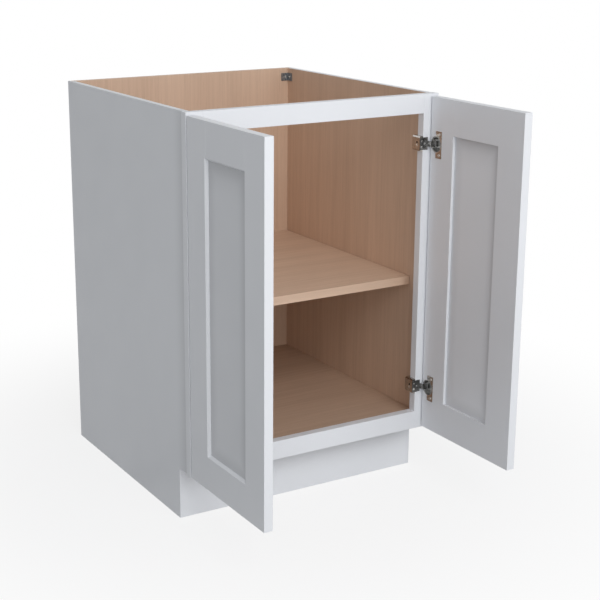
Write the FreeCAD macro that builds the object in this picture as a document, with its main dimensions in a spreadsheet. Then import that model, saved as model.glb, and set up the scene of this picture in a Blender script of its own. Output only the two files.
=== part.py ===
import FreeCAD, Part
import os
import re

# Double door base cabinet, in millimetres.
# +X is to the right, +Y to the wall behind, +Z up, and the front faces -Y.
# The origin is on the floor, at the middle of the width, in the plane of the wall.
# Both doors stand open at a right angle, as they do in the photograph.

SIZES = {
    # carcass
    "cabinet_width": 609.6,
    "cabinet_depth": 609.6,
    "cabinet_height": 876.3,
    "board": 12.7,
    "joint_depth": 6.35,
    "toe_height": 114.3,
    "toe_setback": 61.0,
    "floor_drop": 9.6,
    # face frame
    "frame_thickness": 19.05,
    "stile_width": 38.1,
    "frame_rail_width": 41.3,
    "frame_overhang": 4.8,
    # shelf and its four pins
    "shelf_thickness": 19.05,
    "shelf_level": 439.0,
    "shelf_setback": 41.5,
    "shelf_play": 0.8,
    "shelf_pin_radius": 2.5,
    "shelf_pin_depth": 8.8,
    "shelf_pad": 9.0,
    "shelf_pin_inset": 60.0,
    # corner brackets
    "bracket_reach": 20.0,
    "bracket_tall": 19.0,
    "bracket_sheet": 2.0,
    "bracket_drop": 12.0,
    # doors
    "door_thickness": 19.05,
    "door_side_reveal": 4.8,
    "door_middle_gap": 3.2,
    "door_low_reveal": 4.0,
    "door_high_reveal": 5.7,
    "door_frame_width": 76.2,
    "door_bevel": 4.8,
    "door_panel": 6.35,
    "door_groove": 9.5,
    "door_panel_play": 1.5,
    # where the hinges carry the doors
    "door_gap": 3.0,
    "open_offset": 18.5,
    "open_lift": 3.6,
    "hinge_low_inset": 98.0,
    "hinge_high_inset": 101.0,
    # hinge cup, sunk in the door
    "cup_radius": 17.4,
    "cup_depth": 12.6,
    "cup_wall": 1.5,
    "cup_cheek": 3.0,
    "cup_cheek_reach": 5.0,
    "cup_tab": 3.0,
    "bore_play": 0.1,
    "bore_spare_depth": 0.4,
    "cup_flange": 1.2,
    "cup_flange_radius": 18.0,
    "cup_screw_spacing": 45.0,
    "cup_screw_offset": 9.5,
    "cup_plate_tall": 58.5,
    "cup_plate_width": 20.0,
    "cup_slot_play": 0.8,
    # hinge pin and arm
    "pin_radius": 1.2,
    "pin_bite": 1.6,
    "pin_play": 0.05,
    "eye_radius": 2.4,
    "arm_width": 12.0,
    "arm_side_play": 0.4,
    "arm_sheet": 2.0,
    "arm_lead": 0.1,
    "arm_flap": 12.0,
    "flap_sheet": 1.5,
    "flap_tall": 27.0,
    # hinge base, on the inner edge of the stile
    "base_rise": 8.7,
    "base_run": 26.0,
    "base_tall": 33.0,
    "base_hook": 6.0,
    "base_round": 4.2,
    "base_slot_up": 5.0,
    "base_screw_drop": 3.0,
    # screws
    "screw_play": 0.05,
    "screw_tip_play": 0.5,
    "wood_screw_radius": 2.1,
    "wood_screw_head": 4.0,
    "wood_screw_head_tall": 2.8,
    "wood_screw_bite": 20.0,
    "small_screw_radius": 1.75,
    "small_screw_head": 3.3,
    "small_screw_head_tall": 1.0,
    "small_screw_bite": 9.0,
    "arm_screw_radius": 1.2,
    "arm_screw_head": 2.4,
    "arm_screw_head_tall": 1.0,
    "arm_screw_bite": 7.0,
    "arm_screw_spacing": 13.0,
    "cam_radius": 2.6,
    "cam_offset": 3.2,
    "drive_reach": 1.3,
    "drive_slot": 0.6,
    "drive_depth": 0.6,
}

# Sizes that follow from the ones above.
FOLLOWING = {
    "half_width": "cabinet_width / 2",
    "stile_inner": "half_width - stile_width",
    "side_outer": "half_width - frame_overhang",
    "side_inner": "side_outer - board",
    "frame_front": "-cabinet_depth",
    "frame_back": "-cabinet_depth + frame_thickness",
    "kick_front": "-cabinet_depth + toe_setback",
    "kick_back": "kick_front + board",
    "frame_rail_top": "toe_height + frame_rail_width",
    "floor_top": "frame_rail_top - floor_drop",
    "floor_under": "floor_top - board",
    "door_width": "(cabinet_width - door_middle_gap) / 2 - door_side_reveal",
    "door_low": "toe_height + door_low_reveal",
    "door_high": "cabinet_height - door_high_reveal",
    "door_inside": "stile_inner + open_offset",
    "door_outside": "door_inside + door_thickness",
    "door_edge": "frame_front - open_lift",
    "panel_recess": "(door_thickness - door_panel) / 2",
    "overlay": "stile_width - door_side_reveal",
    # The pivot is the point that carries the shut door's edge and inner face onto the open door's.
    "pivot_side": "stile_inner + (overlay + open_lift + open_offset - door_gap) / 2",
    "pivot_lead": "(overlay + open_lift - open_offset + door_gap) / 2",
    "pivot_front": "frame_front - pivot_lead",
    "hinge_low": "door_low + hinge_low_inset",
    "hinge_high": "door_high - hinge_high_inset",
    "bore_radius": "cup_radius + bore_play",
    "cup_middle": "door_edge - cup_tab - bore_radius",
    "cup_screw_line": "cup_middle - cup_screw_offset",
    # The slot in the cup takes the arm's eye, and the arm's riser when the door is shut.
    "cup_slot_depth": "pivot_lead + eye_radius - door_gap + cup_slot_play",
    "cup_slot_end": "door_edge - overlay + arm_flap - arm_sheet - cup_slot_play",
    "arm_slot": "arm_width / 2 + arm_side_play",
    "pin_length": "2 * (arm_slot + pin_bite)",
    "screw_line": "(frame_front + frame_back) / 2",
}

SIDES = {"left": -1, "right": 1}
LEVELS = {"lower": "hinge_low", "upper": "hinge_high"}
# Flat sides that stand for the round of small screw heads, cams and seats.
ROUND_SIDES = 16

doc = FreeCAD.newDocument("double_door_base_cabinet")
sheet = doc.addObject("Spreadsheet::Sheet", "Sizes")
for row, (size, value) in enumerate(SIZES.items(), 1):
    sheet.set("A%d" % row, size)
    sheet.set("B%d" % row, str(value))
    sheet.setAlias("B%d" % row, size)
for row, (size, formula) in enumerate(FOLLOWING.items(), 1):
    sheet.set("C%d" % row, size)
    sheet.set("D%d" % row, "=" + formula)
    sheet.setAlias("D%d" % row, size)
doc.recompute()

KNOWN = set(SIZES) | set(FOLLOWING)
finished = []


def bind(item, field, formula):
    """Ties one field of an object to the sheet; the formula uses the sheet's names."""
    linked = re.sub(r"[a-z_]+", lambda word: "Sizes." + word[0] if word[0] in KNOWN else word[0], formula)
    item.setExpression(field, linked)


def sided(side, low, high):
    """A span along X given for the right side, turned over for the left."""
    if SIDES[side] > 0:
        return low, high
    return "-(%s)" % high, "-(%s)" % low


def at_side(side, place):
    """One place along X given for the right side, turned over for the left."""
    return place if SIDES[side] > 0 else "-(%s)" % place


def around(middle, size):
    """A span of a given size around a middle."""
    return "%s - (%s) / 2" % (middle, size), "%s + (%s) / 2" % (middle, size)


def block(title, along_x, along_y, along_z):
    item = doc.addObject("Part::Box", title)
    spans = {"x": ("Length", along_x), "y": ("Width", along_y), "z": ("Height", along_z)}
    for axis, (field, (low, high)) in spans.items():
        bind(item, "Placement.Base." + axis, low)
        bind(item, field, "(%s) - (%s)" % (high, low))
    return item


def stand(item, axis, centre, span):
    """Lays an upright primitive along one axis; centre is its place on the other two, in X, Y, Z order."""
    turns = {
        "x": FreeCAD.Rotation(FreeCAD.Vector(0, 1, 0), 90),
        "y": FreeCAD.Rotation(FreeCAD.Vector(1, 0, 0), -90),
        "z": FreeCAD.Rotation(),
    }
    item.Placement = FreeCAD.Placement(FreeCAD.Vector(), turns[axis])
    low, high = span
    others = [name for name in "xyz" if name != axis]
    bind(item, "Placement.Base." + axis, low)
    bind(item, "Placement.Base." + others[0], centre[0])
    bind(item, "Placement.Base." + others[1], centre[1])
    bind(item, "Height", "(%s) - (%s)" % (high, low))
    return item


def rod(title, axis, centre, span, radius):
    item = stand(doc.addObject("Part::Cylinder", title), axis, centre, span)
    bind(item, "Radius", radius)
    return item


def stem(title, axis, centre, span, radius, sides=6):
    """A bar with flat sides: six for hidden shanks and their holes, more for heads, cams and seats."""
    item = stand(doc.addObject("Part::Prism", title), axis, centre, span)
    item.Polygon = sides
    bind(item, "Circumradius", radius)
    return item


def fuse(title, *pieces):
    item = doc.addObject("Part::MultiFuse", title)
    item.Shapes = list(pieces)
    item.Refine = True
    return item


def cut(title, base, *tools):
    for tool in tools:
        item = doc.addObject("Part::Cut", title)
        item.Base = base
        item.Tool = tool
        base = item
    return base


def finish(item, label):
    """Names a finished sub-part."""
    item.Label = label
    finished.append(item)
    return item


def gather(label, pieces):
    """A set of alike pieces in one sub-part, each a solid of its own."""
    item = doc.addObject("Part::Compound", label)
    item.Links = pieces
    return finish(item, label)


def screw(title, axis, centre, seat, into, radius, bite, head, head_tall, crossed=False):
    """A screw with a slotted or crossed head that sits on seat; into, +1 or -1, is the way the point goes."""
    outward = "-" if into > 0 else "+"
    inward = "+" if into > 0 else "-"
    top = "(%s) %s %s" % (seat, outward, head_tall)
    tip = "(%s) %s (%s)" % (seat, inward, bite)
    deep = "(%s) %s drive_depth" % (top, inward)
    head_span = (top, seat) if into > 0 else (seat, top)
    shank_span = (top, tip) if into > 0 else (tip, top)
    drive_span = (top, deep) if into > 0 else (deep, top)
    whole = fuse(title, stem(title + "_head", axis, centre, head_span, head, ROUND_SIDES),
                 stem(title + "_shank", axis, centre, shank_span, radius))
    wide = [around(place, "drive_reach * " + head) for place in centre]
    thin = [around(place, "drive_slot") for place in centre]
    slots = []
    for sides in ([wide[0], thin[1]], [thin[0], wide[1]])[:2 if crossed else 1]:
        sides.insert("xyz".index(axis), drive_span)
        slots.append(block(title + "_drive", *sides))
    return cut(title, whole, *slots)


def side_panel(side):
    """A side board: notched for the toe space, with a dado for the floor and a rabbet for the back."""
    board = block(side + "_side_board", sided(side, "side_inner", "side_outer"),
                  ("frame_back - joint_depth", "0"), ("0", "cabinet_height"))
    notch = block(side + "_toe_notch", sided(side, "side_inner", "side_outer"),
                  ("frame_back - joint_depth", "kick_back"), ("0", "toe_height"))
    dado = block(side + "_floor_dado", sided(side, "side_inner", "side_inner + joint_depth"),
                 ("frame_back", "-board"), ("floor_under", "floor_top"))
    rabbet = block(side + "_back_rabbet", sided(side, "side_inner", "side_inner + joint_depth"),
                   ("-board", "0"), ("0", "cabinet_height"))
    pin_holes = [stem(side + "_pin_hole", "x", (place, "shelf_level - shelf_pin_radius"),
                      sided(side, "side_inner", "side_inner + shelf_pin_depth + screw_play"),
                      "shelf_pin_radius + screw_play") for place in pin_places()]
    bracket_hole = stem(side + "_bracket_hole", "x", wing_screw_places(side)[0],
                        sided(side, "side_inner", "side_inner + small_screw_bite - bracket_sheet"),
                        "small_screw_radius + screw_play")
    finish(cut(side + "_side", board, notch, dado, rabbet, *pin_holes, bracket_hole), side + "_side_panel")


def back_panel():
    board = block("back_board", ("-side_inner - joint_depth", "side_inner + joint_depth"),
                  ("-board", "0"), ("0", "cabinet_height"))
    holes = [stem(side + "_back_hole", "y", wing_screw_places(side)[1],
                  ("-board", "-board + small_screw_bite - bracket_sheet"), "small_screw_radius + screw_play")
             for side in SIDES]
    finish(cut("back", board, *holes), "back_panel")


def floor_panel():
    board = block("floor_board", ("-side_inner - joint_depth", "side_inner + joint_depth"),
                  ("frame_back", "-board"), ("floor_under", "floor_top"))
    finish(board, "floor_panel")


def toe_kick():
    """The kick board covers the edges of both notches and rises between the sides to the floor."""
    thick = ("kick_front", "kick_back")
    low = block("kick_low", ("-side_outer", "side_outer"), thick, ("0", "toe_height"))
    high = block("kick_high", ("-side_inner", "side_inner"), thick, ("0", "floor_under"))
    finish(fuse("kick", low, high), "toe_kick")


def frame_stile(side):
    """An upright of the face frame, grooved behind for the side board."""
    post = block(side + "_post", sided(side, "stile_inner", "half_width"), ("frame_front", "frame_back"),
                 ("toe_height", "cabinet_height"))
    groove = block(side + "_post_groove", sided(side, "side_inner", "side_outer"),
                   ("frame_back - joint_depth", "frame_back"), ("toe_height", "cabinet_height"))
    bite = sided(side, "stile_inner", "stile_inner + wood_screw_bite")
    holes = [stem(side + "_base_hole", "x", base_screw_place(level), bite, "wood_screw_radius + screw_play")
             for level in LEVELS.values()]
    finish(cut(side + "_stile", post, groove, *holes), "frame_%s_stile" % side)


def frame_rail(label, low, high):
    finish(block(label, ("-stile_inner", "stile_inner"), ("frame_front", "frame_back"), (low, high)), label)


def pin_places():
    """The two places along Y of the shelf's pins."""
    return "shelf_pin_inset - cabinet_depth + frame_thickness + shelf_setback", "-board - shelf_pin_inset"


def shelf_and_pins():
    board = block("shelf_board", ("-side_inner + shelf_play", "side_inner - shelf_play"),
                  ("frame_back + shelf_setback", "-board - shelf_play"),
                  ("shelf_level", "shelf_level + shelf_thickness"))
    finish(board, "shelf")
    pins = []
    for side in SIDES:
        for place in pin_places():
            pad = block(side + "_pin_pad", sided(side, "side_inner - shelf_pad", "side_inner"),
                        around(place, "shelf_pad"), ("shelf_level - 2 * shelf_pin_radius", "shelf_level"))
            peg = stem(side + "_pin_stem", "x", (place, "shelf_level - shelf_pin_radius"),
                       sided(side, "side_inner - shelf_pad", "side_inner + shelf_pin_depth"),
                       "shelf_pin_radius")
            pins.append(fuse(side + "_pin", pad, peg))
    gather("shelf_pins", pins)


def wing_screw_places(side):
    """Where the screws of a bracket go: as Y and Z on the side board, as X and Z on the back."""
    level = "(cabinet_height - bracket_drop - bracket_tall / 2)"
    return ("-board - bracket_reach / 2", level), (at_side(side, "(side_inner - bracket_reach / 2)"), level)


def corner_brackets():
    """Angle brackets that tie the back to the sides, with a screw in each wing."""
    tall = ("cabinet_height - bracket_drop - bracket_tall", "cabinet_height - bracket_drop")
    screws = []
    for side, turn in SIDES.items():
        on_side = block(side + "_wing", sided(side, "side_inner - bracket_sheet", "side_inner"),
                        ("-board - bracket_reach", "-board"), tall)
        on_back = block(side + "_back_wing", sided(side, "side_inner - bracket_reach", "side_inner"),
                        ("-board - bracket_sheet", "-board"), tall)
        side_place, back_place = wing_screw_places(side)
        hole = "small_screw_radius + screw_play"
        side_hole = stem(side + "_wing_hole", "x", side_place,
                         sided(side, "side_inner - bracket_sheet", "side_inner"), hole)
        back_hole = stem(side + "_back_wing_hole", "y", back_place,
                         ("-board - bracket_sheet", "-board"), hole)
        finish(cut(side + "_bracket", fuse(side + "_angle", on_side, on_back), side_hole, back_hole),
               side + "_corner_bracket")
        small = ("small_screw_radius", "small_screw_bite - screw_tip_play", "small_screw_head",
                 "small_screw_head_tall")
        screws.append(screw(side + "_wing_screw", "x", side_place,
                            at_side(side, "(side_inner - bracket_sheet)"), turn, *small))
        screws.append(screw(side + "_back_wing_screw", "y", back_place, "-board - bracket_sheet", 1, *small))
    gather("corner_bracket_screws", screws)


def across(near, far):
    """A span along Y between two distances from the door's hinge edge, towards its free edge."""
    return "door_edge - (%s)" % far, "door_edge - (%s)" % near


def door_recess(side):
    """The bevelled hollow in the front of a door, cut from all four of its frame pieces."""
    hollow = doc.addObject("Part::Wedge", side + "_door_recess")
    turn = FreeCAD.Rotation(FreeCAD.Vector(0, 0, 1), 90 * SIDES[side])
    hollow.Placement = FreeCAD.Placement(FreeCAD.Vector(), turn)
    lip = "(door_frame_width - door_bevel)"
    wide = "(door_width - 2 * %s)" % lip
    tall = "(door_high - door_low - 2 * %s)" % lip
    bind(hollow, "Xmin", "0")
    bind(hollow, "Xmax", wide)
    bind(hollow, "Zmin", "0")
    bind(hollow, "Zmax", tall)
    bind(hollow, "Ymin", "0")
    bind(hollow, "Ymax", "panel_recess")
    bind(hollow, "X2min", "door_bevel")
    bind(hollow, "X2max", wide + " - door_bevel")
    bind(hollow, "Z2min", "door_bevel")
    bind(hollow, "Z2max", tall + " - door_bevel")
    start = "door_edge - door_width + " + lip if SIDES[side] > 0 else "door_edge - " + lip
    bind(hollow, "Placement.Base.x", at_side(side, "door_outside"))
    bind(hollow, "Placement.Base.y", start)
    bind(hollow, "Placement.Base.z", "door_low + " + lip)
    return hollow


def door_stile(side, label, near, far, groove_near, groove_far, holes):
    """An upright of a door, grooved along its inner edge for the panel and the rails' tongues."""
    thick = sided(side, "door_inside", "door_outside")
    middle = sided(side, "door_inside + panel_recess", "door_outside - panel_recess")
    post = block(label + "_post", thick, across(near, far), ("door_low", "door_high"))
    groove = block(label + "_groove", middle, across(groove_near, groove_far), ("door_low", "door_high"))
    finish(cut(label + "_cut", post, groove, door_recess(side), *holes), label)


def door_rail(side, label, low, high, groove_low, groove_high):
    """A rail of a door, with a tongue at each end in the stiles' grooves."""
    thick = sided(side, "door_inside", "door_outside")
    middle = sided(side, "door_inside + panel_recess", "door_outside - panel_recess")
    between = across("door_frame_width", "door_width - door_frame_width")
    tongued = across("door_frame_width - door_groove", "door_width - door_frame_width + door_groove")
    bar = block(label + "_bar", thick, between, (low, high))
    tongue = block(label + "_tongue", middle, tongued, (low, high))
    groove = block(label + "_groove", middle, tongued, (groove_low, groove_high))
    finish(cut(label + "_cut", fuse(label + "_body", bar, tongue), groove, door_recess(side)), label)


def door(side):
    """A five-piece door: two stiles, two rails and a flat panel that floats in their grooves."""
    name = side + "_door_"
    bores = []
    bore_span = sided(side, "door_inside", "door_inside + cup_depth + bore_spare_depth")
    bite = sided(side, "door_inside", "door_inside + small_screw_bite")
    for level in LEVELS.values():
        bores.append(rod(name + "bore", "x", ("cup_middle", level), bore_span, "bore_radius"))
        for half in ("-", "+"):
            bores.append(stem(name + "cup_screw_hole", "x", cup_screw_place(level, half), bite,
                              "small_screw_radius + screw_play"))
    door_stile(side, name + "hinge_stile", "0", "door_frame_width",
               "door_frame_width - door_groove", "door_frame_width", bores)
    door_stile(side, name + "lock_stile", "door_width - door_frame_width", "door_width",
               "door_width - door_frame_width", "door_width - door_frame_width + door_groove", [])
    door_rail(side, name + "top_rail", "door_high - door_frame_width", "door_high",
              "door_high - door_frame_width", "door_high - door_frame_width + door_groove")
    door_rail(side, name + "bottom_rail", "door_low", "door_low + door_frame_width",
              "door_low + door_frame_width - door_groove", "door_low + door_frame_width")
    inset = "door_frame_width - door_groove + door_panel_play"
    panel = block(name + "board", sided(side, "door_inside + panel_recess", "door_outside - panel_recess"),
                  across(inset, "door_width - (%s)" % inset),
                  ("door_low + " + inset, "door_high - (%s)" % inset))
    finish(panel, name + "panel")


def cup_screw_place(level, half):
    """One of the two screws of a cup, in its ears above and below the bore."""
    return "cup_screw_line", "%s %s cup_screw_spacing / 2" % (level, half)


def base_screw_place(level):
    """The base's screw sits low in its slot, on the middle line of the stile's edge."""
    return "screw_line", "(%s - base_screw_drop)" % level


def hinge_base(side, height, level):
    """The pressed block on the stile's inner edge: round top and bottom, a tall screw slot, a hook behind."""
    name = "%s_%s_hinge_base" % (side, height)
    run = ("frame_front", "frame_front + base_run")
    tall = around(level, "base_tall")
    shoulder = "stile_inner - base_rise + base_round"
    body = block(name + "_body", sided(side, "stile_inner - base_rise", "stile_inner"), run,
                 around(level, "base_tall - 2 * base_round"))
    core = block(name + "_core", sided(side, shoulder, "stile_inner"), run, tall)
    rounds = []
    for half in ("-", "+"):
        corner = (at_side(side, "(%s)" % shoulder), "%s %s (base_tall / 2 - base_round)" % (level, half))
        rounds.append(rod(name + "_round", "y", corner, run, "base_round"))
    hook = block(name + "_hook", sided(side, shoulder, "stile_inner + base_hook"),
                 ("frame_back", "frame_front + base_run"), tall)
    through = sided(side, "stile_inner - base_rise", "stile_inner")
    hole = stem(name + "_hole", "x", base_screw_place(level), through, "wood_screw_radius + screw_play")
    slot = block(name + "_slot", through, around("screw_line", "2 * wood_screw_radius"),
                 ("%s - base_screw_drop" % level, "%s + base_slot_up" % level))
    seat = stem(name + "_seat", "x", base_screw_place(level),
                sided(side, "stile_inner - base_rise", "stile_inner - base_rise + wood_screw_head_tall"),
                "wood_screw_head + screw_play", ROUND_SIDES)
    taps = [stem(name + "_tap", "y", arm_screw_place(side, level, half),
                 ("frame_front", "frame_front + arm_screw_bite"), "arm_screw_radius + screw_play")
            for half in ("-", "+")]
    whole = fuse(name + "_whole", body, core, *rounds, hook)
    finish(cut(name + "_cut", whole, hole, slot, seat, *taps), name)


def arm_screw_place(side, level, half):
    """One of the two small screws that hold the arm's flap to its base."""
    return at_side(side, "(stile_inner - base_rise / 2)"), "%s %s arm_screw_spacing / 2" % (level, half)


def pivot_place(side):
    """The upright line that a door turns about."""
    return at_side(side, "pivot_side"), "pivot_front"


def hinge_arm(side, height, level):
    """The bent arm: a flap on the frame, a riser, and a tongue that ends in the eye on the pin."""
    name = "%s_%s_hinge_arm" % (side, height)
    narrow = around(level, "arm_width")
    flap = block(name + "_flap", sided(side, "stile_inner - base_rise", "stile_inner + arm_flap"),
                 ("frame_front - flap_sheet", "frame_front"), around(level, "flap_tall"))
    tongue_back = "pivot_front + arm_lead"
    tongue_front = "pivot_front + arm_lead - arm_sheet"
    corner = "stile_inner + arm_flap"
    riser = block(name + "_riser", sided(side, corner + " - arm_sheet", corner),
                  (tongue_back, "frame_front"), narrow)
    bend = rod(name + "_bend", "z", (at_side(side, "(%s)" % corner), tongue_back), narrow, "arm_sheet")
    bend.Angle = 90
    bend.Placement.Rotation = FreeCAD.Rotation(FreeCAD.Vector(0, 0, 1), 180 if SIDES[side] > 0 else 270)
    tongue = block(name + "_tongue", sided(side, corner, "pivot_side"), (tongue_front, tongue_back), narrow)
    eye = rod(name + "_eye", "z", pivot_place(side), narrow, "eye_radius")
    hole = rod(name + "_eye_hole", "z", pivot_place(side), narrow, "pin_radius + pin_play")
    seats = []
    for half in ("-", "+"):
        place = arm_screw_place(side, level, half)
        seats.append(stem(name + "_seat", "y", place,
                          ("frame_front - flap_sheet", "frame_front - flap_sheet + arm_screw_head_tall"),
                          "arm_screw_head + screw_play", ROUND_SIDES))
        seats.append(stem(name + "_hole", "y", place, ("frame_front - flap_sheet", "frame_front"),
                          "arm_screw_radius + screw_play"))
    cam_hole = stem(name + "_cam_hole", "y", cam_place(side, level),
                    ("frame_front - flap_sheet", "frame_front"), "cam_radius + screw_play", ROUND_SIDES)
    whole = fuse(name + "_whole", flap, riser, bend, tongue, eye)
    finish(cut(name + "_cut", whole, hole, cam_hole, *seats), name)


def cam_place(side, level):
    return at_side(side, "(stile_inner + cam_offset)"), level


def hinge_cam(side, level):
    """The slotted cam in the flap that shifts the door sideways."""
    place = cam_place(side, level)
    disc = stem(side + "_cam_disc", "y", place, ("frame_front - flap_sheet", "frame_front"), "cam_radius",
                ROUND_SIDES)
    slot = block(side + "_cam_slot", around(place[0], "drive_reach * cam_radius"),
                 ("frame_front - flap_sheet", "frame_front - flap_sheet + drive_depth"),
                 around(place[1], "drive_slot"))
    return cut(side + "_cam", disc, slot)


def hinge_cup(side, height, level):
    """A hollow cup in the door: an eared flange, a slot for the arm, and two cheeks that hold the pin."""
    name = "%s_%s_hinge_cup" % (side, height)
    proud = sided(side, "door_inside - cup_flange", "door_inside")
    sunk = sided(side, "door_inside", "door_inside + cup_depth")
    body = rod(name + "_body", "x", ("cup_middle", level), sunk, "cup_radius")
    disc = rod(name + "_disc", "x", ("cup_middle", level), proud, "cup_flange_radius")
    plate = block(name + "_plate", proud,
                  ("cup_middle - cup_flange_radius", "cup_middle - cup_flange_radius + cup_plate_width"),
                  around(level, "cup_plate_tall"))
    inside = sided(side, "door_inside - cup_flange", "door_inside + cup_slot_depth")
    mouth = rod(name + "_mouth", "x", ("cup_middle", level), inside, "cup_radius - cup_wall")
    cheeks = block(name + "_cheeks", inside, ("pivot_front - cup_cheek_reach", "cup_middle + cup_radius"),
                   around(level, "2 * (arm_slot + cup_cheek)"))
    slot = block(name + "_slot", inside, ("cup_slot_end", "cup_middle + cup_flange_radius + cup_tab"),
                 around(level, "2 * arm_slot"))
    seat = stem(name + "_pin_seat", "z", pivot_place(side), around(level, "pin_length"),
                "pin_radius + pin_play", ROUND_SIDES)
    holes = [stem(name + "_screw_hole", "x", cup_screw_place(level, half), proud,
                  "small_screw_radius + screw_play") for half in ("-", "+")]
    hollow = cut(name + "_hollow", mouth, cheeks)
    finish(cut(name + "_cut", fuse(name + "_whole", body, disc, plate), hollow, slot, seat, *holes), name)


def hinge_pin(side, height, level):
    name = "%s_%s_hinge_pin" % (side, height)
    finish(rod(name, "z", pivot_place(side), around(level, "pin_length"), "pin_radius"), name)


def hinges():
    base_screws = []
    arm_screws = []
    cams = []
    for side, turn in SIDES.items():
        cup_screws = []
        for height, level in LEVELS.items():
            hinge_base(side, height, level)
            hinge_arm(side, height, level)
            hinge_cup(side, height, level)
            hinge_pin(side, height, level)
            seat = at_side(side, "(stile_inner - base_rise + wood_screw_head_tall)")
            base_screws.append(screw("%s_%s_base_screw" % (side, height), "x", base_screw_place(level), seat,
                                     turn, "wood_screw_radius", "wood_screw_bite", "wood_screw_head",
                                     "wood_screw_head_tall", crossed=True))
            cams.append(hinge_cam(side, level))
            for half in ("-", "+"):
                arm_screws.append(screw("%s_%s_arm_screw" % (side, height), "y",
                                        arm_screw_place(side, level, half),
                                        "frame_front - flap_sheet + arm_screw_head_tall", 1,
                                        "arm_screw_radius", "arm_screw_bite - screw_tip_play",
                                        "arm_screw_head", "arm_screw_head_tall"))
                cup_screws.append(screw("%s_%s_cup_screw" % (side, height), "x", cup_screw_place(level, half),
                                        at_side(side, "(door_inside - cup_flange)"), turn,
                                        "small_screw_radius", "small_screw_bite", "small_screw_head",
                                        "small_screw_head_tall", crossed=True))
        gather(side + "_cup_screws", cup_screws)
    gather("hinge_base_screws", base_screws)
    gather("hinge_arm_screws", arm_screws)
    gather("hinge_cams", cams)


back_panel()
floor_panel()
toe_kick()
frame_rail("frame_top_rail", "cabinet_height - frame_rail_width", "cabinet_height")
frame_rail("frame_bottom_rail", "toe_height", "frame_rail_top")
for side in SIDES:
    side_panel(side)
    frame_stile(side)
    door(side)
shelf_and_pins()
corner_brackets()
hinges()

doc.recompute()
for item in doc.Objects:
    if "Invalid" in item.State or "Error" in item.State:
        raise RuntimeError("%s did not build: %s" % (item.Label, item.State))
os.makedirs("parts", exist_ok=True)
for item in finished:
    if item.Shape.isNull() or not item.Shape.isValid() or not item.Shape.Solids:
        raise RuntimeError(item.Label + " has no sound solid")
    item.Shape.exportStep("parts/%s.step" % item.Label)
print(len(finished), "sub-parts written")
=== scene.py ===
"""Looks of a double door base cabinet: white enamel outside, maple veneer inside, nickel plated hinges."""
import bpy
import math
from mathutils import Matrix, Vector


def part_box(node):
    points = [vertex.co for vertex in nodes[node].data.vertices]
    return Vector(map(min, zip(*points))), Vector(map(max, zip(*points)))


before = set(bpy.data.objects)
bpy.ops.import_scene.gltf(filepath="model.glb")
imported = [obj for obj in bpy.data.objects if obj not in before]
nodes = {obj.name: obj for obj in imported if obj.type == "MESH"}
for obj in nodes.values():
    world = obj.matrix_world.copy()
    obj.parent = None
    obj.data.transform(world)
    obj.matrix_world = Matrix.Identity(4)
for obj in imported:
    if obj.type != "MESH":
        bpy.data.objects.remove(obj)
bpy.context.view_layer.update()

# Finishes, as linear colours.
ENAMEL_CLEAN = (0.798, 0.815, 0.850, 1.0)
ENAMEL_HANDLED = (0.788, 0.805, 0.839, 1.0)
# The show side of the door panels: the enamel made darker, as painted shade.
SHADED_PANEL_CLEAN = (0.726, 0.741, 0.773, 1.0)
SHADED_PANEL_HANDLED = (0.717, 0.732, 0.763, 1.0)
MAPLE_PALE = (0.662, 0.474, 0.350, 1.0)
MAPLE_DEEP = (0.572, 0.400, 0.290, 1.0)
MAPLE_PORE = (0.410, 0.270, 0.188, 1.0)
NICKEL_BRIGHT = (0.560, 0.542, 0.516, 1.0)
NICKEL_DULL = (0.440, 0.422, 0.400, 1.0)
ARM_BRIGHT = (0.270, 0.270, 0.267, 1.0)
ARM_DULL = (0.165, 0.165, 0.163, 1.0)
# The grey of a hinge cup's mouth, darker than the bright nickel as painted shade in the hollow.
MOUTH_PAINTED_SHADE_GREY = (0.500, 0.500, 0.494, 1.0)
STEEL_BRIGHT = (0.820, 0.820, 0.810, 1.0)
STEEL_DULL = (0.580, 0.580, 0.572, 1.0)
BRACKET_CLEAN = (0.185, 0.196, 0.211, 1.0)
BRACKET_SCUFFED = (0.295, 0.302, 0.314, 1.0)
BLACK = (0.0, 0.0, 0.0, 1.0)
WHITE = (1.0, 1.0, 1.0, 1.0)

# Shades of single boards: the floor board's veneer is made darker than the rest as painted shade, the shelf's
# paler as painted light.
FLOOR_BOARD_PAINTED_SHADE = 0.90
SHELF_PAINTED_LIGHT = 1.05

# How far the noise is squeezed along the grain, and the ways that the grain runs.
GRAIN_SQUEEZE = 0.022
UPRIGHT = (1.0, 1.0, GRAIN_SQUEEZE)
ACROSS = (GRAIN_SQUEEZE, 1.0, 1.0)
DEEPWAYS = (1.0, GRAIN_SQUEEZE, 1.0)

# Layers of the maple: broad bands, fine fibres and short pores, and how much each one shows.
MAPLE_BANDS = dict(scale=24.0, detail=2.0, limits=(0.34, 0.66))
MAPLE_FIBRES = dict(scale=210.0, detail=4.0, roughness=0.65, limits=(0.30, 0.70))
MAPLE_PORES = dict(scale=760.0, detail=2.0, limits=(0.63, 0.72))
BAND_SHARE = 0.45
FIBRE_SHARE = 0.55
PORE_SHARE = 0.35
FIBRE_HEIGHT = 0.4
MAPLE_SHEEN = (0.40, 0.52)
MAPLE_BUMP = dict(Strength=0.2, Distance=0.0002)

# Layers of the enamel: handling marks, uneven sheen, orange peel and the wood's grain showing through.
ENAMEL_CLOUDS = dict(scale=5.0, detail=3.0, limits=(0.35, 0.75))
ENAMEL_SHEEN = dict(scale=17.0, detail=4.0, limits=(0.30, 0.70), levels=(0.40, 0.46))
ORANGE_PEEL = dict(scale=650.0, detail=2.0)
SHOWN_GRAIN = dict(scale=240.0, detail=4.0)
ENAMEL_BUMP = dict(Strength=0.12, Distance=0.0002)
SIDE_BUMP = dict(Strength=0.15, Distance=0.0002)

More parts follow.
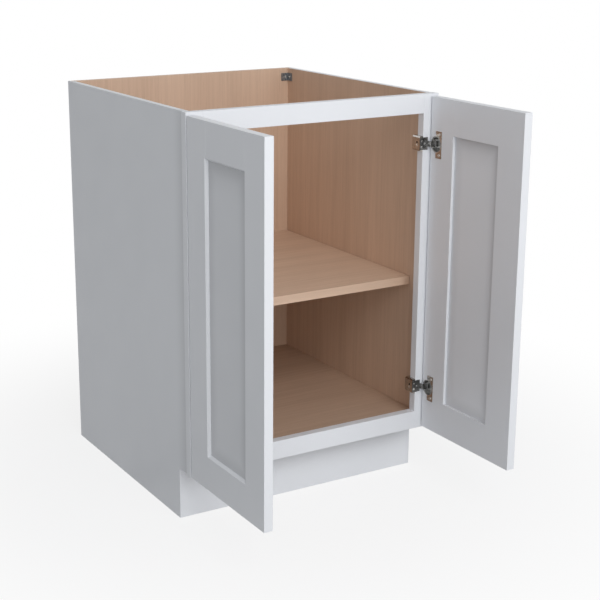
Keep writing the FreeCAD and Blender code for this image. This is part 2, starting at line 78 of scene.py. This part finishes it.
# Layers of the plated metal: dull patches and small specks.
PLATE_PATCHES = dict(scale=220.0, detail=3.0, limits=(0.35, 0.70))
PLATE_SPECKS = dict(scale=2600.0, detail=1.0, limits=(0.60, 0.75))
PLATE_BUMP = dict(Strength=0.08, Distance=0.00005)

# The roughness of each metal where it is bright and where it is dull.
POLISHED = (0.10, 0.22)
SATIN = (0.24, 0.40)
SCREW_SHEEN = (0.18, 0.34)
BRACKET_SHEEN = (0.30, 0.48)
BRACKET_METALLIC = 0.8

# The dull mouth of a hinge cup ends between these radii, and is rougher by this much.
MOUTH_RADII = (0.0166, 0.0172)
MOUTH_DULLING = 0.20

# Painted shade in inner corners: round the door panels, under the top rail and beside the face frame.
PANEL_PAINTED_SHADE = dict(Reach=0.034, Depth=0.13)
TOP_PAINTED_SHADE = dict(Reach=0.070, Depth=0.11)
SIDE_PAINTED_SHADE = dict(Reach=0.060, Depth=0.15)
FAR = 10.0

# A face counts as looking outwards or inwards where that part of its normal is past this.
FACING = 0.5

# Eased edges of the boards.
EASE_RADIUS = 0.0005
EASE_SEGMENTS = 2
EASED_ANGLE = math.radians(40.0)
JOIN_REACH = 0.00001

# The studio's ground: its size, what it throws back, and how it is shown, from its middle outwards.
GROUND_REACH = 30.0
GROUND_LEVEL = -0.0005
GROUND_MATT = (0.45, 0.45, 0.45, 1.0)
GROUND_SHOWN = (0.80, 0.80, 0.81, 1.0)
GROUND_MIDDLE = (0.0, -0.35, 0.0)
GROUND_FADE = (0.35, 1.35)
GROUND_WHITENESS = (0.80, 1.0)

# The studio's light: all round, from high in front and from straight in front.
ROOM_COLOUR = (0.96, 0.98, 1.0, 1.0)
ROOM_STRENGTH = 0.366
HIGH_BOX = dict(place=(-0.78, -5.20, 4.20), aim=(0.0, -0.4, 0.45), width=2.6, height=2.6, power=89.0)
FRONT_BOX = dict(place=(-0.30, -3.60, 1.60), aim=(-0.30, 0.0, 1.60), width=6.0, height=3.2, power=71.0)

# The camera of the photograph.
CAMERA_SENSOR = 36.0
CAMERA_LENS = 79.25
CAMERA_SHIFT_X = 0.0678
CAMERA_SHIFT_Y = -0.0335
CAMERA_REACH = 100.0
CAMERA_PLACE = (-1.4509, -2.8813, 1.2294)
CAMERA_TILT = math.radians(74.87)
CAMERA_TURN = math.radians(-29.98)

# Kinds of sockets, and what each surface group puts out.
COLOUR = "NodeSocketColor"
VECTOR = "NodeSocketVector"
VALUE = "NodeSocketFloat"
SURFACE = [("Colour", COLOUR), ("Roughness", VALUE), ("Height", VALUE)]

# Places of the sockets on a node that mixes colours.
MIX_SHARE = 0
MIX_FIRST = 6
MIX_SECOND = 7
MIX_RESULT = 2


def wire(tree, source, end):
    """Joins an output socket to an input, or sets the input to a plain value."""
    if isinstance(source, bpy.types.NodeSocket):
        tree.links.new(source, end)
    else:
        end.default_value = source


def add(tree, kind, **inputs):
    """A new shader node with its inputs filled by name, spaces written as underscores."""
    made = tree.nodes.new(kind)
    for name, source in inputs.items():
        wire(tree, source, made.inputs[name.replace("_", " ")])
    return made


def maths(tree, kind, first, second=0.0):
    """A maths node on sockets or numbers."""
    made = tree.nodes.new("ShaderNodeMath")
    made.operation = kind
    wire(tree, first, made.inputs[0])
    wire(tree, second, made.inputs[1])
    return made.outputs[0]


def vector_maths(tree, kind, first, second, output="Vector"):
    """A vector maths node on sockets or sets of three numbers."""
    made = tree.nodes.new("ShaderNodeVectorMath")
    made.operation = kind
    wire(tree, first, made.inputs[0])
    wire(tree, second, made.inputs[1])
    return made.outputs[output]


def parts_of(tree, vector):
    """The X, Y and Z outputs of a vector."""
    return add(tree, "ShaderNodeSeparateXYZ", Vector=vector).outputs


def spread(tree, value, limits, levels=(0.0, 1.0)):
    """Stretches a value smoothly from between two limits to between two levels."""
    made = add(tree, "ShaderNodeMapRange", Value=value, From_Min=limits[0], From_Max=limits[1],
               To_Min=levels[0], To_Max=levels[1])
    made.interpolation_type = "SMOOTHSTEP"
    return made.outputs["Result"]


def blend_colours(tree, share, first, second):
    """A mix of two colours; each is a socket or four numbers."""
    made = tree.nodes.new("ShaderNodeMix")
    made.data_type = "RGBA"
    wire(tree, share, made.inputs[MIX_SHARE])
    wire(tree, first, made.inputs[MIX_FIRST])
    wire(tree, second, made.inputs[MIX_SECOND])
    return made.outputs[MIX_RESULT]


def noise(tree, vector, scale, detail, roughness=0.55):
    """A noise value on a vector socket."""
    made = add(tree, "ShaderNodeTexNoise", Vector=vector, Scale=scale, Detail=detail, Roughness=roughness)
    return made.outputs["Fac"]


def layer(tree, vector, limits, levels=(0.0, 1.0), **texture):
    """A noise stretched from between two limits to between two levels."""
    return spread(tree, noise(tree, vector, **texture), limits, levels)


def new_group(title, inputs, outputs):
    """An empty shader group with named sockets, and the sockets of its two ends."""
    group = bpy.data.node_groups.new(title, "ShaderNodeTree")
    for way, sockets in (("INPUT", inputs), ("OUTPUT", outputs)):
        for name, kind in sockets:
            group.interface.new_socket(name=name, in_out=way, socket_type=kind)
    return group, group.nodes.new("NodeGroupInput").outputs, group.nodes.new("NodeGroupOutput").inputs


def maple_grain():
    """Sliced maple veneer: broad bands, fine fibres and short pores along the squeezed way of the vector."""
    group, given, made = new_group(
        "maple grain",
        [("Vector", VECTOR), ("Pale", COLOUR), ("Deep", COLOUR), ("Pore", COLOUR)],
        SURFACE)
    bands = layer(group, given["Vector"], **MAPLE_BANDS)
    fibres = layer(group, given["Vector"], **MAPLE_FIBRES)
    pores = layer(group, given["Vector"], **MAPLE_PORES)
    band_share = maths(group, "MULTIPLY", bands, BAND_SHARE)
    fibre_share = maths(group, "MULTIPLY", fibres, FIBRE_SHARE)
    pore_share = maths(group, "MULTIPLY", pores, PORE_SHARE)
    veneer = blend_colours(group, maths(group, "ADD", band_share, fibre_share), given["Pale"], given["Deep"])
    wire(group, blend_colours(group, pore_share, veneer, given["Pore"]), made["Colour"])
    wire(group, spread(group, fibres, (0.0, 1.0), MAPLE_SHEEN), made["Roughness"])
    height = maths(group, "MULTIPLY", fibres, FIBRE_HEIGHT)
    wire(group, maths(group, "SUBTRACT", height, pores), made["Height"])
    return group


def enamel_film():
    """Sprayed enamel on hardwood: faint grain showing through, fine orange peel and slight handling marks."""
    group, given, made = new_group(
        "enamel film",
        [("Vector", VECTOR), ("Along", VECTOR), ("Clean", COLOUR), ("Handled", COLOUR)],
        SURFACE)
    clouds = layer(group, given["Vector"], **ENAMEL_CLOUDS)
    wire(group, blend_colours(group, clouds, given["Clean"], given["Handled"]), made["Colour"])
    wire(group, layer(group, given["Vector"], **ENAMEL_SHEEN), made["Roughness"])
    peel = noise(group, given["Vector"], **ORANGE_PEEL)
    grain = noise(group, given["Along"], **SHOWN_GRAIN)
    wire(group, maths(group, "ADD", peel, grain), made["Height"])
    return group


def plated_metal():
    """Plated or rolled metal: duller patches and small specks."""
    group, given, made = new_group(
        "plated metal",
        [("Vector", VECTOR), ("Bright", COLOUR), ("Dull", COLOUR), ("Smooth", VALUE), ("Rough", VALUE)],
        SURFACE)
    patches = layer(group, given["Vector"], **PLATE_PATCHES)
    wire(group, blend_colours(group, patches, given["Bright"], given["Dull"]), made["Colour"])
    gap = maths(group, "SUBTRACT", given["Rough"], given["Smooth"])
    rise = maths(group, "MULTIPLY", patches, gap)
    wire(group, maths(group, "ADD", given["Smooth"], rise), made["Roughness"])
    wire(group, layer(group, given["Vector"], **PLATE_SPECKS), made["Height"])
    return group


def corner_painted_shade():
    """Painted shade in inner corners: a colour made darker towards limits of Y and Z."""
    group, given, made = new_group(
        "corner painted shade",
        [("Vector", VECTOR), ("Low", VECTOR), ("High", VECTOR), ("Reach", VALUE), ("Depth", VALUE),
         ("Colour", COLOUR)],
        [("Colour", COLOUR)])
    above = vector_maths(group, "SUBTRACT", given["Vector"], given["Low"])
    below = vector_maths(group, "SUBTRACT", given["High"], given["Vector"])
    gap = parts_of(group, vector_maths(group, "MINIMUM", above, below))
    nearest = maths(group, "MINIMUM", gap["Y"], gap["Z"])
    share = spread(group, maths(group, "DIVIDE", nearest, given["Reach"]), (0.0, 1.0), (1.0, 0.0))
    share = maths(group, "MULTIPLY", share, given["Depth"])
    wire(group, blend_colours(group, share, given["Colour"], BLACK), made["Colour"])
    return group


MAPLE_GRAIN = maple_grain()
ENAMEL_FILM = enamel_film()
PLATED_METAL = plated_metal()
CORNER_PAINTED_SHADE = corner_painted_shade()


def start_material(title):
    """A new node material: its tree, its Principled shader and its texture coordinates."""
    material = bpy.data.materials.new(title)
    material.use_nodes = True
    tree = material.node_tree
    return material, tree, tree.nodes["Principled BSDF"], tree.nodes.new("ShaderNodeTexCoord").outputs


def dress(tree, shader, colour, roughness, height, bump):
    """Gives a shader its colour, its roughness and the bump of a height."""
    wire(tree, colour, shader.inputs["Base Color"])
    wire(tree, roughness, shader.inputs["Roughness"])
    raised = add(tree, "ShaderNodeBump", Height=height, **bump)
    wire(tree, raised.outputs["Normal"], shader.inputs["Normal"])


def placed(tree, group, **inputs):
    """The outputs of a group placed in a material with its inputs filled by name."""
    made = tree.nodes.new("ShaderNodeGroup")
    made.node_tree = group
    for name, source in inputs.items():
        wire(tree, source, made.inputs[name])
    return made.outputs


def squeezed(tree, place, way):
    """Object coordinates, squeezed along the grain."""
    return add(tree, "ShaderNodeMapping", Vector=place["Object"], Scale=way).outputs["Vector"]


def enamel_in(tree, place, way, clean=ENAMEL_CLEAN, handled=ENAMEL_HANDLED):
    """The enamel group with its colours and grain way set."""
    return placed(tree, ENAMEL_FILM, Clean=clean, Handled=handled, Vector=place["Object"],
                  Along=squeezed(tree, place, way))


def maple_in(tree, place, way, shade=1.0):
    """The maple group with its colours and grain way set; a shade under one darkens the board as painted
    shade, over one lightens it as painted light.
    """
    pale, deep, pore = [tuple(part * shade for part in colour[:3]) + (1.0,)
                        for colour in (MAPLE_PALE, MAPLE_DEEP, MAPLE_PORE)]
    return placed(tree, MAPLE_GRAIN, Pale=pale, Deep=deep, Pore=pore, Vector=squeezed(tree, place, way))


def metal_in(tree, place, bright, dull, sheen):
    """The metal group with its colours and sheen set."""
    return placed(tree, PLATED_METAL, Bright=bright, Dull=dull, Smooth=sheen[0], Rough=sheen[1],
                  Vector=place["Object"])


def with_painted_shade(tree, place, colour, low, high, tone):
    """A colour made darker as painted shade towards the limits of Y and Z that low and high give."""
    made = placed(tree, CORNER_PAINTED_SHADE, Low=(0.0,) + low, High=(0.0,) + high, Vector=place["Object"],
                  Colour=colour, **tone)
    return made["Colour"]


def away_from_middle(tree, place):
    """How far a face looks away from the cabinet's middle: one on outer sides, minus one on inner sides."""
    side = maths(tree, "SIGN", parts_of(tree, place["Object"])["X"])
    return maths(tree, "MULTIPLY", parts_of(tree, place["Normal"])["X"], side)


def white_enamel(title, way):
    """Satin white enamel on wood whose grain runs one way."""
    material, tree, shader, place = start_material(title)
    film = enamel_in(tree, place, way)
    dress(tree, shader, film["Colour"], film["Roughness"], film["Height"], ENAMEL_BUMP)
    return material


def panel_enamel_painted_shade(title):
    """Door panel enamel, darker as painted shade on the show side, round the recess and under the top rail.
    """
    material, tree, shader, place = start_material(title)
    plain = enamel_in(tree, place, UPRIGHT)
    # The show side takes the darker panel colours, as painted shade.
    shown = enamel_in(tree, place, UPRIGHT, SHADED_PANEL_CLEAN, SHADED_PANEL_HANDLED)
    outer = maths(tree, "GREATER_THAN", away_from_middle(tree, place), FACING)
    colour = blend_colours(tree, outer, plain["Colour"], shown["Colour"])
    lock_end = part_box("left_door_lock_stile")[1][1]
    hinge_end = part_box("left_door_hinge_stile")[0][1]
    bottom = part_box("left_door_bottom_rail")[1][2]
    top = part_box("left_door_top_rail")[0][2]
    # Painted shade round the panel's recess, and more of it under the top rail.
    colour = with_painted_shade(tree, place, colour, (lock_end, bottom), (hinge_end, top), PANEL_PAINTED_SHADE)
    colour = with_painted_shade(tree, place, colour, (-FAR, -FAR), (FAR, top), TOP_PAINTED_SHADE)
    dress(tree, shader, colour, plain["Roughness"], plain["Height"], ENAMEL_BUMP)
    return material


def lacquered_maple(title, way, shade=1.0):
    """Clear lacquered maple whose grain runs one way."""
    material, tree, shader, place = start_material(title)
    grain = maple_in(tree, place, way, shade)
    dress(tree, shader, grain["Colour"], grain["Roughness"], grain["Height"], MAPLE_BUMP)
    return material


def enamel_out_maple_in(title):
    """Side boards: maple on the face that looks into the cabinet, enamel on the rest, darker by the frame as
    painted shade.
    """
    material, tree, shader, place = start_material(title)
    film = enamel_in(tree, place, UPRIGHT)
    grain = maple_in(tree, place, UPRIGHT)
    inside = maths(tree, "LESS_THAN", away_from_middle(tree, place), -FACING)
    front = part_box("left_side_panel")[0][1]
    # Painted shade on the enamel beside the face frame.
    enamel = with_painted_shade(tree, place, film["Colour"], (front, -FAR), (FAR, FAR), SIDE_PAINTED_SHADE)
    colour = blend_colours(tree, inside, enamel, grain["Colour"])
    rougher = maths(tree, "SUBTRACT", grain["Roughness"], film["Roughness"])
    rough = maths(tree, "ADD", maths(tree, "MULTIPLY", rougher, inside), film["Roughness"])
    height = maths(tree, "ADD", maths(tree, "MULTIPLY", grain["Height"], inside), film["Height"])
    dress(tree, shader, colour, rough, height, SIDE_BUMP)
    return material


def plated(title, bright, dull, sheen, metallic=1.0):
    """Plated metal in one colour."""
    material, tree, shader, place = start_material(title)
    shader.inputs["Metallic"].default_value = metallic
    metal = metal_in(tree, place, bright, dull, sheen)
    dress(tree, shader, metal["Colour"], metal["Roughness"], metal["Height"], PLATE_BUMP)
    return material


def cup_mouth(tree, place):
    """One inside the mouth of the nearer hinge cup of a door, nought outside it."""
    spot = parts_of(tree, place["Object"])
    rises = []
    for hinge in ("right_lower", "right_upper"):
        low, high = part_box(hinge + "_hinge_cup")
        level = (low[2] + high[2]) / 2
        rises.append(maths(tree, "ABSOLUTE", maths(tree, "SUBTRACT", spot["Z"], level)))
    rise = maths(tree, "MINIMUM", *rises)
    # All the cups stand at one depth, so the last one gives the middle.
    run = maths(tree, "SUBTRACT", spot["Y"], (low[1] + high[1]) / 2)
    square = maths(tree, "ADD", maths(tree, "MULTIPLY", rise, rise), maths(tree, "MULTIPLY", run, run))
    return spread(tree, maths(tree, "SQRT", square), MOUTH_RADII, (1.0, 0.0))


def cup_nickel(title):
    """Hinge cups: a polished plate with a duller mouth, whose darker grey is painted shade in the hollow."""
    material, tree, shader, place = start_material(title)
    shader.inputs["Metallic"].default_value = 1.0
    metal = metal_in(tree, place, NICKEL_BRIGHT, NICKEL_DULL, POLISHED)
    mouth = cup_mouth(tree, place)
    # Painted shade: the mouth takes the darker grey; its added roughness is the duller finish.
    colour = blend_colours(tree, mouth, metal["Colour"], MOUTH_PAINTED_SHADE_GREY)
    rough = maths(tree, "ADD", metal["Roughness"], maths(tree, "MULTIPLY", mouth, MOUTH_DULLING))
    dress(tree, shader, colour, rough, metal["Height"], PLATE_BUMP)
    return material


def finish_nodes(material, *names):
    """Gives nodes one material."""
    for name in names:
        if not nodes[name].material_slots:
            nodes[name].data.materials.append(material)
        for slot in nodes[name].material_slots:
            slot.material = material


enamel_upright = white_enamel("white enamel, upright grain", UPRIGHT)
enamel_across = white_enamel("white enamel, grain across", ACROSS)
enamel_deepways = white_enamel("white enamel, grain front to back", DEEPWAYS)
enamel_panel_painted_shade = panel_enamel_painted_shade("white enamel on the door panels, painted shade")
maple_upright = lacquered_maple("maple veneer, upright grain", UPRIGHT)
# The floor board darker as painted shade, the shelf paler as painted light.
maple_floor_painted_shade = lacquered_maple("maple veneer on the floor, painted shade", ACROSS, FLOOR_BOARD_PAINTED_SHADE)
maple_shelf_painted_light = lacquered_maple("maple veneer on the shelf, painted light", ACROSS, SHELF_PAINTED_LIGHT)
side_board = enamel_out_maple_in("side board, enamel outside and maple inside")
nickel_polished = plated("polished nickel", NICKEL_BRIGHT, NICKEL_DULL, POLISHED)
nickel_cup = cup_nickel("polished nickel with a dull mouth")
nickel_satin = plated("satin nickel", ARM_BRIGHT, ARM_DULL, SATIN)
steel_plated = plated("plated screw steel", STEEL_BRIGHT, STEEL_DULL, SCREW_SHEEN)
steel_bracket = plated("dark bracket steel", BRACKET_CLEAN, BRACKET_SCUFFED, BRACKET_SHEEN,
                       BRACKET_METALLIC)

SIDES = ("left", "right")
HINGES = ("left_lower", "left_upper", "right_lower", "right_upper")
DOOR_STILES = ("hinge_stile", "lock_stile")
DOOR_RAILS = ("top_rail", "bottom_rail")

finish_nodes(side_board, "left_side_panel", "right_side_panel")
finish_nodes(maple_upright, "back_panel")
finish_nodes(maple_floor_painted_shade, "floor_panel")
finish_nodes(maple_shelf_painted_light, "shelf")
finish_nodes(enamel_upright, "frame_left_stile", "frame_right_stile")
finish_nodes(enamel_across, "frame_top_rail", "frame_bottom_rail", "toe_kick")
for side in SIDES:
    finish_nodes(enamel_upright, *["%s_door_%s" % (side, piece) for piece in DOOR_STILES])
    finish_nodes(enamel_deepways, *["%s_door_%s" % (side, piece) for piece in DOOR_RAILS])
    finish_nodes(enamel_panel_painted_shade, side + "_door_panel")
    finish_nodes(steel_bracket, side + "_corner_bracket")
    finish_nodes(steel_plated, side + "_cup_screws")
for hinge in HINGES:
    finish_nodes(nickel_polished, hinge + "_hinge_base")
    finish_nodes(nickel_cup, hinge + "_hinge_cup")
    finish_nodes(nickel_satin, hinge + "_hinge_arm")
    finish_nodes(steel_plated, hinge + "_hinge_pin")
finish_nodes(nickel_polished, "corner_bracket_screws")
finish_nodes(steel_plated, "hinge_base_screws", "hinge_arm_screws", "hinge_cams", "shelf_pins")


def ease_edges(name):
    """Takes the sharpness off the edges of a board, as sanding does before the finish goes on."""
    joined = nodes[name].modifiers.new("joined corners", "WELD")
    joined.merge_threshold = JOIN_REACH
    eased = nodes[name].modifiers.new("eased edges", "BEVEL")
    eased.width = EASE_RADIUS
    eased.segments = EASE_SEGMENTS
    eased.limit_method = "ANGLE"
    eased.angle_limit = EASED_ANGLE
    flat = nodes[name].modifiers.new("flat faces", "WEIGHTED_NORMAL")
    flat.keep_sharp = False


for board in ("left_side_panel", "right_side_panel", "back_panel", "floor_panel", "shelf", "toe_kick",
              "frame_left_stile", "frame_right_stile", "frame_top_rail", "frame_bottom_rail"):
    ease_edges(board)
for side in SIDES:
    for piece in DOOR_STILES + DOOR_RAILS:
        ease_edges("%s_door_%s" % (side, piece))


def mixed(tree, share, first, second):
    """A mix of two shaders."""
    made = tree.nodes.new("ShaderNodeMixShader")
    for place, source in enumerate((share, first, second)):
        wire(tree, source, made.inputs[place])
    return made.outputs[0]


def show_white(tree, thrown, shown, output):
    """Lights with the first shader, and shows the second to the camera, in reflections and through glass."""
    path = tree.nodes.new("ShaderNodeLightPath").outputs
    seen = maths(tree, "MAXIMUM", path["Is Camera Ray"], path["Is Glossy Ray"])
    seen = maths(tree, "MAXIMUM", seen, path["Is Transmission Ray"])
    wire(tree, mixed(tree, seen, thrown, shown), tree.nodes[output].inputs["Surface"])


def studio_floor():
    """A pale floor that goes to plain white away from the cabinet and keeps its soft shadow."""
    mesh = bpy.data.meshes.new("studio floor")
    corners = [(across * GROUND_REACH, deep * GROUND_REACH, GROUND_LEVEL)
               for across, deep in ((-1, -1), (1, -1), (1, 1), (-1, 1))]
    mesh.from_pydata(corners, [], [(0, 1, 2, 3)])
    floor = bpy.data.objects.new("studio_floor", mesh)
    bpy.context.scene.collection.objects.link(floor)
    material, tree, shader, place = start_material("studio floor")
    tree.nodes.remove(shader)
    matt = add(tree, "ShaderNodeBsdfDiffuse", Color=GROUND_MATT).outputs[0]
    lit = add(tree, "ShaderNodeBsdfDiffuse", Color=GROUND_SHOWN).outputs[0]
    white = add(tree, "ShaderNodeEmission", Color=WHITE, Strength=1.0).outputs[0]
    away = vector_maths(tree, "DISTANCE", place["Object"], GROUND_MIDDLE, "Value")
    shown = mixed(tree, spread(tree, away, GROUND_FADE, GROUND_WHITENESS), lit, white)
    show_white(tree, matt, shown, "Material Output")
    mesh.materials.append(material)


def studio_world():
    """Soft even light all round, shown as white where the camera or a reflection sees it."""
    world = bpy.data.worlds.new("studio")
    bpy.context.scene.world = world
    world.use_nodes = True
    tree = world.node_tree
    soft = tree.nodes["Background"]
    soft.inputs["Color"].default_value = ROOM_COLOUR
    soft.inputs["Strength"].default_value = ROOM_STRENGTH
    white = add(tree, "ShaderNodeBackground", Color=WHITE, Strength=1.0)
    show_white(tree, soft.outputs[0], white.outputs[0], "World Output")


def soft_box(title, place, aim, width, height, power):
    """A large soft lamp that looks at a point."""
    lamp = bpy.data.lights.new(title, "AREA")
    lamp.shape = "RECTANGLE"
    lamp.size = width
    lamp.size_y = height
    lamp.energy = power
    held = bpy.data.objects.new(title, lamp)
    across, deep, rise = [end - start for start, end in zip(place, aim)]
    held.location = place
    held.rotation_euler = (math.atan2(math.hypot(across, deep), -rise), 0.0, math.atan2(-across, deep))
    bpy.context.scene.collection.objects.link(held)


def camera():
    """The photograph's viewpoint, with the shift that its framing needs."""
    lens = bpy.data.cameras.new("photograph view")
    lens.sensor_width = CAMERA_SENSOR
    lens.lens = CAMERA_LENS
    lens.shift_x = CAMERA_SHIFT_X
    lens.shift_y = CAMERA_SHIFT_Y
    lens.clip_end = CAMERA_REACH
    held = bpy.data.objects.new("photograph view", lens)
    held.location = CAMERA_PLACE
    held.rotation_euler = (CAMERA_TILT, 0.0, CAMERA_TURN)
    bpy.context.scene.collection.objects.link(held)
    bpy.context.scene.camera = held


studio_floor()
studio_world()
soft_box("high soft box", **HIGH_BOX)
soft_box("front soft box", **FRONT_BOX)
camera()
bpy.context.scene.view_settings.view_transform = "Standard"
